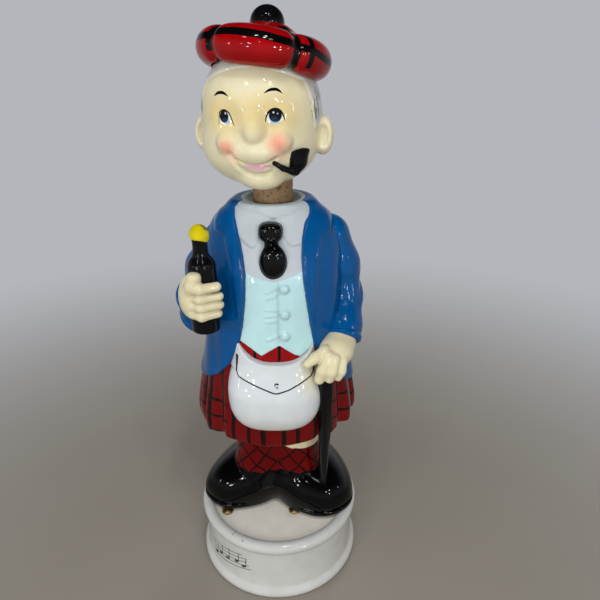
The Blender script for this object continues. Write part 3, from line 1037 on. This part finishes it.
def headGlaze():
    # cream glaze, airbrushed blush and eye shading under it, thin brushed lines for brows and lids
    material, tree = newMaterial("painted_earthenware_face")
    plan = addNode(tree, "Attribute", {"attribute_name": "plan"}, "Vector")
    fields = ("front", "temple")
    front, temple = (addNode(tree, "Attribute", {"attribute_name": field}, "Fac") for field in fields)
    sprays = [(head[tone], inkSpot(tree, plan, *spot), most, front) for *spot, tone, most in head["sprays"]]
    hair = coats(tree, head["hair"], (head["hairShade"], grain(tree, 5.0, 3, (1, 1, 0.2))))
    strokes = addNode(tree, "MapRange", {0: grain(tree, 1.5, 2, (1, 1, 0.25)), 1: 0.47, 2: 0.53})
    beside = addNode(tree, "MapRange", {0: temple, 1: 0.25, 2: 0.5})
    eyes = []     # tall dark irises turned to the viewer's left
    for eye, (a, b), radii, soft, tone, most in head["ovals"]:
        u, v = head["eyes"][eye]
        eyes.append((head[tone], inkSpot(tree, plan, (u + a, v + b), radii, soft), most, front))
    lines = [stroke for line in head["lines"] for stroke in brushed(line)]
    colour = coats(tree, head["skin"], (head["skinShade"], grain(tree, 20.0, 3)), *sprays,
                   (head["lipPink"], inkMarks(tree, plan, head["lips"], 0.35), front),
                   (hair, edged(tree, "hair", 0.5, 0.6)), (head["hairGrey"], strokes, beside, 0.85), *eyes,
                   (head["ink"], inkMarks(tree, plan, lines), front))
    fired(tree, colour, 0.24, 0.05)
    return material


# pipe, luted on the cheek
pipe = {"room": ((0, -30, 255), (21, -12, 280)), "step": 0.32, "stemBlend": 1.2, "bowlBlend": 2.0,
        "stem": ((2.4, -27.6, 267.0, 1.15), (6.4, -26.6, 264.4, 1.2), (10.6, -23.4, 262.2, 1.6)),
        "bowl": ((11.8, -21.6, 262.6, 2.7), (13.2, -22.4, 267.0, 4.0), (14.3, -23.0, 274.0, 4.9)),
        "lipAt": (14.3, -22.8, 271.4), "lipWay": (-0.16, 0.46, 0.87), "lipEdge": 0.9,
        "bore": 2.6, "boreDeep": 4.0, "boreEdge": 0.7, "seat": 0.3}


def pipeField(x, y, z):
    stem, bowl = (chain(x, y, z, pipe[name], pipe[name + "Blend"]) for name in ("stem", "bowl"))
    above = past(x, y, z, pipe["lipAt"], pipe["lipWay"])
    whole = shared(joined(stem, bowl, pipe["stemBlend"]), above, pipe["lipEdge"])
    bore = np.hypot(x - pipe["lipAt"][0], y - pipe["lipAt"][1]) - pipe["bore"]
    whole = carved(whole, np.maximum(bore, -above - pipe["boreDeep"]), pipe["boreEdge"])
    return np.maximum(whole, -(headField(x, y, z) + pipe["seat"]))


# tam: five soft lobes gathered to a pom-pom
tam = {
    "room": ((-37, -35, 294), (32, 35, 328)), "step": 0.55, "centre": (-2.6, 0, 311.6), "tilt": 8.0,
    "back": 10.0,
    "ring": 23.6, "roll": 8.5, "dome": (((0, 0, 0), (27.0, 27.0, 12.4), 4.0),), "seat": 0.3,
    "crown": (((1.5, -0.5, 9.0), (11.0, 11.0, 6.0), 4.0),), "mouth": 24.0, "mouthUnder": -3.0,
    "mouthEdge": 2.0,
    "creases": (-118, -50, 30, 102, 172), "creaseDeep": 1.8, "creaseWide": 6.0, "sag": 0.5, "sagWide": 32,
    "tuckFrom": (6, 26), "flat": 2.75, "stripeIn": 12.0, "stripeOut": 8.0, "stripeEnd": 0.3, "bandHalf": 8.0,
    "bandTurns": (-180, -126, -108, -84, -60, -40, -16, 4, 15, 27, 40, 70, 100, 128, 150, 180), "bandMm": 0.5,
    "bandRise": (14, 28, 22, 9, 11, 17, 18, 16, 14, 12, 9, -1, 8, 13, 12, 14),
    "stripes": ((30, 1.9, -70), (43.5, 1.5, -28), (-52.0, 1.9, -20), (102, 1.9, -70), (115, 1.5, -28),
                (174, 1.9, -70), (-173, 1.5, -28), (-114, 1.9, -70)),
    "red": "#A60408", "redDeep": "#86050A", "black": "#080708",
}
pompom = {"room": ((-10, -9, 316), (8, 9, 334)), "step": 0.45, "centre": (-1.0, 0, 325.4),
          "radii": (8.0, 8.0, 7.7),
          "bump": 0.04}


def tamLocal(x, y, z):
    u, w = swing(x - tam["centre"][0], z - tam["centre"][2], -tam["tilt"])
    v, w = swing(y - tam["centre"][1], w, -tam["back"])
    return u, v, w, turnOf(u, v), np.hypot(u, v)


def tamField(x, y, z):
    u, v, w, turn, rho = tamLocal(x, y, z)
    gap = np.min([np.abs((turn - crease + 180) % 360 - 180) for crease in tam["creases"]], 0)
    tuck = tam["creaseDeep"] * np.exp(-(gap / tam["creaseWide"]) ** 2)
    tuck = tuck + tam["sag"] * ramp(tam["sagWide"], 0, gap)
    roll = np.hypot(rho - tam["ring"], w) - tam["roll"]
    whole = heaped(roll, u, v, w, tam["dome"]) + tuck * ramp(*tam["tuckFrom"], rho)
    whole = heaped(whole, u, v, w, tam["crown"])
    whole = carved(whole, np.maximum(rho - tam["mouth"], w - tam["mouthUnder"]), tam["mouthEdge"])
    top = ball(x, y, z, pompom["centre"], pompom["radii"])
    return np.max([whole, -(headField(x, y, z) + tam["seat"]), -(top + tam["seat"])], 0)


def tamPaint(x, y, z):
    u, v, w, turn, rho = tamLocal(x, y, z)
    rise = np.degrees(np.arctan2(w * tam["flat"], rho))
    band = tam["bandHalf"] - np.abs(rise - between(turn, tam["bandTurns"], tam["bandRise"]))
    stripe = np.full(len(x), wellIn)
    for at, half, lowest in tam["stripes"]:
        a, b = math.sin(math.radians(at)), -math.cos(math.radians(at))
        off = np.where(u * a + v * b > tam["stripeOut"], half - np.abs(u * b - v * a), wellIn)
        ends = np.minimum(rho - tam["stripeIn"], tam["stripeEnd"] * (rise - lowest))
        stripe = np.maximum(stripe, np.minimum(off, ends))
    return {"band": band * tam["bandMm"], "stripe": stripe}


def tamGlaze():
    # red brushed in two coats, black plaid bands painted freehand over it
    material, tree = newMaterial("painted_earthenware_tam")
    colour = coats(tree, tam["red"], (tam["redDeep"], grain(tree, 10.0, 3)),
                   (tam["black"], edged(tree, "band", 0.3, 0.4)),
                   (tam["black"], edged(tree, "stripe", 0.2, 0.35)))
    fired(tree, colour, 0.5, 0.2)
    return material


def pompomField(x, y, z):
    bumps = pompom["bump"] * np.sin(1.3 * x) * np.sin(1.1 * y + 0.6) * np.sin(1.2 * z)
    return ball(x, y, z, pompom["centre"], pompom["radii"]) - bumps


# cork: turned natural bark with its pores
cork = {"room": ((-12, -12, 230), (12, 12, 263)), "step": 0.45, "foot": 230.6, "top": 262.3, "radius": 10.23,
        "taper": 0.65, "taperFrom": 0.44, "edge": 1.4, "pores": 130, "seed": 7, "poreIn": 1.0,
        "poreDeep": (0.2, 0.5),
        "poreTall": (0.25, 0.7), "tan": "#856A4E", "dark": "#533A25", "pale": "#9B8262", "band": "#785A3D"}
corkRandom = np.random.default_rng(cork["seed"])
poreSpans = ((0, 2 * math.pi), (cork["foot"] + cork["poreIn"], cork["top"] - cork["poreIn"]),
             cork["poreDeep"], cork["poreTall"])     # turn, level, depth and height
corkPores = [[corkRandom.uniform(*span) for span in poreSpans] for pore in range(cork["pores"])]


def corkField(x, y, z):
    rise = (z - cork["foot"]) / (cork["top"] - cork["foot"])
    radius = cork["radius"] + cork["taper"] * np.clip(rise - cork["taperFrom"], 0, 1)
    whole = shared(np.hypot(x, y) - radius, cork["foot"] - z, cork["edge"])
    whole = shared(whole, z - cork["top"], cork["edge"])
    for turn, level, deep, tall in corkPores:
        spot = (radius * math.cos(turn), radius * math.sin(turn), level)
        whole = np.maximum(whole, -ball(x, y, z, spot, (deep, deep, tall)))
    return whole


def corkBark():
    # natural cork: matt, tan with darker pores and faint upright growth bands
    material, tree = newMaterial("natural_cork")
    pool = addNode(tree, "Attribute", {"attribute_name": "pool"}, "Fac")
    bands = addNode(tree, "MapRange", {0: grain(tree, 6.0, 3, (1, 1, 0.2)), 1: 0.45, 2: 0.7})
    dots = addNode(tree, "MapRange", {0: grain(tree, 1.1, 2), 1: 0.62, 2: 0.72})
    pits = addNode(tree, "MapRange", {0: pool, 1: 0.05, 2: 0.4})
    colour = coats(tree, cork["tan"], (cork["pale"], grain(tree, 3.0, 5)), (cork["band"], bands, 0.6),
                   (cork["dark"], gathered(tree, "MAXIMUM", (dots, pits)), 0.8))
    bump = addNode(tree, "Bump", {"Strength": 0.6, "Distance": 0.15 * mm, "Height": grain(tree, 0.8, 4)})
    shader = {"Roughness": 0.85, "IOR": 1.4, "Base Color": colour, "Normal": bump}
    addNode(tree, "OutputMaterial", {0: addNode(tree, "BsdfPrincipled", shader)})
    return material


# metals of the movement and the plate's screws: name, tone, tarnish, roughness, run of the tool lines
metals = {
    "brass": ("turned_brass", "#A08C5A", "#6E6040", 0.3, (1, 1, 12)),
    "steel": ("rolled_steel", "#8E8F92", "#6F7074", 0.34, (1, 14, 1)),
    "zinc": ("die_cast_zinc", "#8B8D8E", "#747677", 0.5, (1, 1, 1)),
}


def metalFinish(name, tone, dull, rough, stretch):
    # bare metal: fine tool lines or a cast skin, tarnished in patches
    material, tree = newMaterial(name)
    patch = addNode(tree, "MapRange", {0: grain(tree, 7.0, 4), 1: 0.45, 2: 0.7})
    scratches = grain(tree, 0.9, 2, stretch)
    bump = addNode(tree, "Bump", {"Strength": 0.25, "Distance": 0.03 * mm, "Height": scratches})
    gloss = addNode(tree, "MapRange", {0: grain(tree, 3.0, 3), 3: rough - 0.06, 4: rough + 0.16})
    colour = coats(tree, tone, (dull, patch))
    shader = {"Metallic": 1.0, "Base Color": colour, "Roughness": gloss, "Normal": bump}
    addNode(tree, "OutputMaterial", {0: addNode(tree, "BsdfPrincipled", shader)})
    return material


# every piece in its place
blackGloss = plainGlaze("black_gloss_glaze", "#070708", "#0E0D11", 0.4, 0.2, glaze["blackIor"])
skinGloss = plainGlaze("cream_glaze_hands", "#E4DCBA", "#D6CAA2", 0.6, 0.06)
blueGloss = sleeveGlaze()
rightArm, leftArm = sleeveField(rightSleeve), sleeveField(leftSleeve)

settled("base_ring", baseField, base, baseGlaze(), "music_base", "base_shell", basePaint)
settled("legs_in_shoes", legsField, shoes, shoeGlaze(), "decanter", "legs_and_shoes", legsPaint)
settled("dressed_trunk", trunkField, trunk, trunkGlaze(), "decanter", "body_vessel",
        trunkPaint)
settled("right_sleeve", rightArm, rightSleeve, blueGloss, "decanter", "right_arm")
settled("left_sleeve", leftArm, leftSleeve, blueGloss, "decanter", "left_arm")
settled("gripping_hand", gripField, grip, skinGloss, "decanter", "right_hand")
settled("small_bottle", bottleField, bottle, blackGloss, "decanter", "toy_bottle")
settled("bottle_cap", capField, cap, capGlaze(), "decanter", "toy_bottle_cap")
settled("resting_hand", restField, rest, skinGloss, "decanter", "left_hand")
settled("furled_stick", stickField, stick, blackGloss, "decanter", "walking_stick")
settled("pouch", sporranField, sporran, sporranGlaze(), "decanter", "sporran")
settled("doll_head", headField, head, headGlaze(), "stopper", "head_shell", headPaint)
settled("lobed_tam", tamField, tam, tamGlaze(), "stopper", "tam", tamPaint)
settled("pompom_ball", pompomField, pompom, blackGloss, "stopper", "pompom")
settled("cheek_pipe", pipeField, pipe, blackGloss, "stopper", "pipe")
settled("turned_cork", corkField, cork, corkBark(), "stopper", "cork_stopper")

slotOf = {entry["node"]: entry["material_slot"] for entry in frame["record"]["subparts"]}
finishes = {slot: metalFinish(*values) for slot, values in metals.items()}
for name, node in frame["nodes"].items():
    if not node.hide_render:
        node.data.materials[0] = finishes[slotOf[name]]
print("pieces placed")

# stage: pale floor, soft lamps and the photograph's viewpoint
stage = {"floorSize": 6.0, "floorTone": "#968F84", "floorShade": "#938C81", "fade": (0.12, 0.75),
         "fadeBack": 0.25,
         "backTone": "#B4B6BB", "overhead": "#16171A", "overheadRise": (0.03, 0.6), "soft": "#C9CBD0",
         "softLevel": 0.3,
         "eye": (0.01408, -0.28318, 0.31894), "pitch": 64.56, "lens": 33.0, "film": 36.0, "near": 0.01,
         "aim": (0, 0, 0.16)}


def seenRays(tree):
    # camera, mirror and see-through rays, which all meet the backdrop
    kinds = ("Is Camera Ray", "Is Glossy Ray", "Is Transmission Ray")
    return gathered(tree, "MAXIMUM", [addNode(tree, "LightPath", {}, kind) for kind in kinds])


def floorFinish():
    # matt card: pale and lit near the piece, keeps its shadow, runs into the backdrop further off
    material, tree = newMaterial("matt_card_floor")
    colour = coats(tree, stage["floorTone"], (stage["floorShade"], grain(tree, 60.0, 3)))
    card = addNode(tree, "BsdfPrincipled", {"Roughness": 0.75, "Base Color": colour})
    place = addNode(tree, "TexCoord", {}, "Object")
    far = addNode(tree, "VectorMath", {"operation": "LENGTH", 0: place}, 1)
    back = addNode(tree, "SeparateXYZ", {0: place}, 1)
    far = addNode(tree, "Math", {"operation": "MULTIPLY_ADD", 0: back, 1: stage["fadeBack"], 2: far})
    low, high = stage["fade"]
    far = addNode(tree, "MapRange", {"interpolation_type": "SMOOTHSTEP", 0: far, 1: low, 2: high})
    sweep = addNode(tree, "Emission", {"Color": linear(stage["backTone"]), "Strength": 1.0})
    shown = gathered(tree, "MULTIPLY", (far, seenRays(tree)))
    addNode(tree, "OutputMaterial", {0: addNode(tree, "MixShader", {0: shown, 1: card, 2: sweep})})
    return material


floorMesh = bpy.data.meshes.new("floor")
half = stage["floorSize"] / 2
corners = [(-half, -half, 0), (half, -half, 0), (half, half, 0), (-half, half, 0)]
floorMesh.from_pydata(corners, [], [(0, 1, 2, 3)])
floor = bpy.data.objects.new("floor", floorMesh)
floorMesh.materials.append(floorFinish())
bpy.context.scene.collection.objects.link(floor)

lamps = {  # place, width, depth, power in watts, seen in the glaze
    "overheadSoft": ((-0.05, -0.36, 0.88), 0.6, 0.5, 0.6, False),
    "frontFill": ((0.0, -1.2, 0.2), 0.9, 0.7, 2.6, False),
    "sideLeft": ((-1.1, -0.5, 0.22), 0.5, 0.7, 2.0, False),
    "backRim": ((0.4, 1.1, 0.7), 0.8, 0.6, 4.0, False),
    "browBulb": ((-0.06, -1.06, 0.86), 0.05, 0.05, 0.3, True),
    "highLeft": ((-0.42, -0.64, 1.0), 0.12, 0.12, 0.4, True),
    "highRight": ((0.3, -0.64, 1.0), 0.12, 0.12, 0.4, True),
    "stripLeft": ((-0.95, -0.55, 0.4), 0.05, 0.2, 0.45, True),
    "stripRight": ((1.0, -0.5, 0.45), 0.05, 0.2, 0.45, True),
}
bulbs = {  # small bare bulbs give the crisp glints
    "width": 0.058, "power": 0.82, "clusters": ((-0.5, -0.95, 0.42), (0.55, -0.95, 0.42), (0.06, -0.5, 1.1)),
    "offsets": ((-0.14, 0, 0.02), (0.04, 0, -0.16), (0.12, 0, 0.13)),
}
for number, middle in enumerate(bulbs["clusters"]):
    for letter, offset in zip("abc", bulbs["offsets"]):
        place = tuple(m + o for m, o in zip(middle, offset))
        lamps[f"bulb{number}{letter}"] = (place, bulbs["width"], bulbs["width"], bulbs["power"], True)
for name, (place, width, depth, power, mirrored) in lamps.items():
    light = bpy.data.lights.new(name, "AREA")
    light.shape, light.size, light.size_y, light.energy = "ELLIPSE", width, depth, power
    lamp = bpy.data.objects.new(name, light)
    lamp.location = place
    lamp.rotation_euler = (Vector(stage["aim"]) - Vector(place)).to_track_quat("-Z", "Y").to_euler()
    lamp.visible_glossy = mirrored
    bpy.context.scene.collection.objects.link(lamp)

world = bpy.data.worlds.new("studio")
bpy.context.scene.world = world
world.use_nodes = True
tree = world.node_tree
tree.nodes.clear()
upward = addNode(tree, "SeparateXYZ", {0: addNode(tree, "TexCoord", {}, "Generated")}, 2)
low, high = stage["overheadRise"]
upward = addNode(tree, "MapRange", {"interpolation_type": "SMOOTHSTEP", 0: upward, 1: low, 2: high})
soft = addNode(tree, "Background", {"Color": linear(stage["soft"]), "Strength": stage["softLevel"]})
backdrop = coats(tree, stage["backTone"], (stage["overhead"], upward))
shown = addNode(tree, "Background", {"Strength": 1.0, "Color": backdrop})
addNode(tree, "OutputWorld", {0: addNode(tree, "MixShader", {0: seenRays(tree), 1: soft, 2: shown})})

camera = bpy.data.objects.new("camera", bpy.data.cameras.new("camera"))
camera.data.lens, camera.data.sensor_width = stage["lens"], stage["film"]
camera.data.clip_start = stage["near"]
camera.location = stage["eye"]
camera.rotation_euler = (math.radians(stage["pitch"]), 0, 0)
bpy.context.scene.collection.objects.link(camera)
bpy.context.scene.camera = camera
bpy.context.scene.view_settings.view_transform = "Standard"
print("stage set")
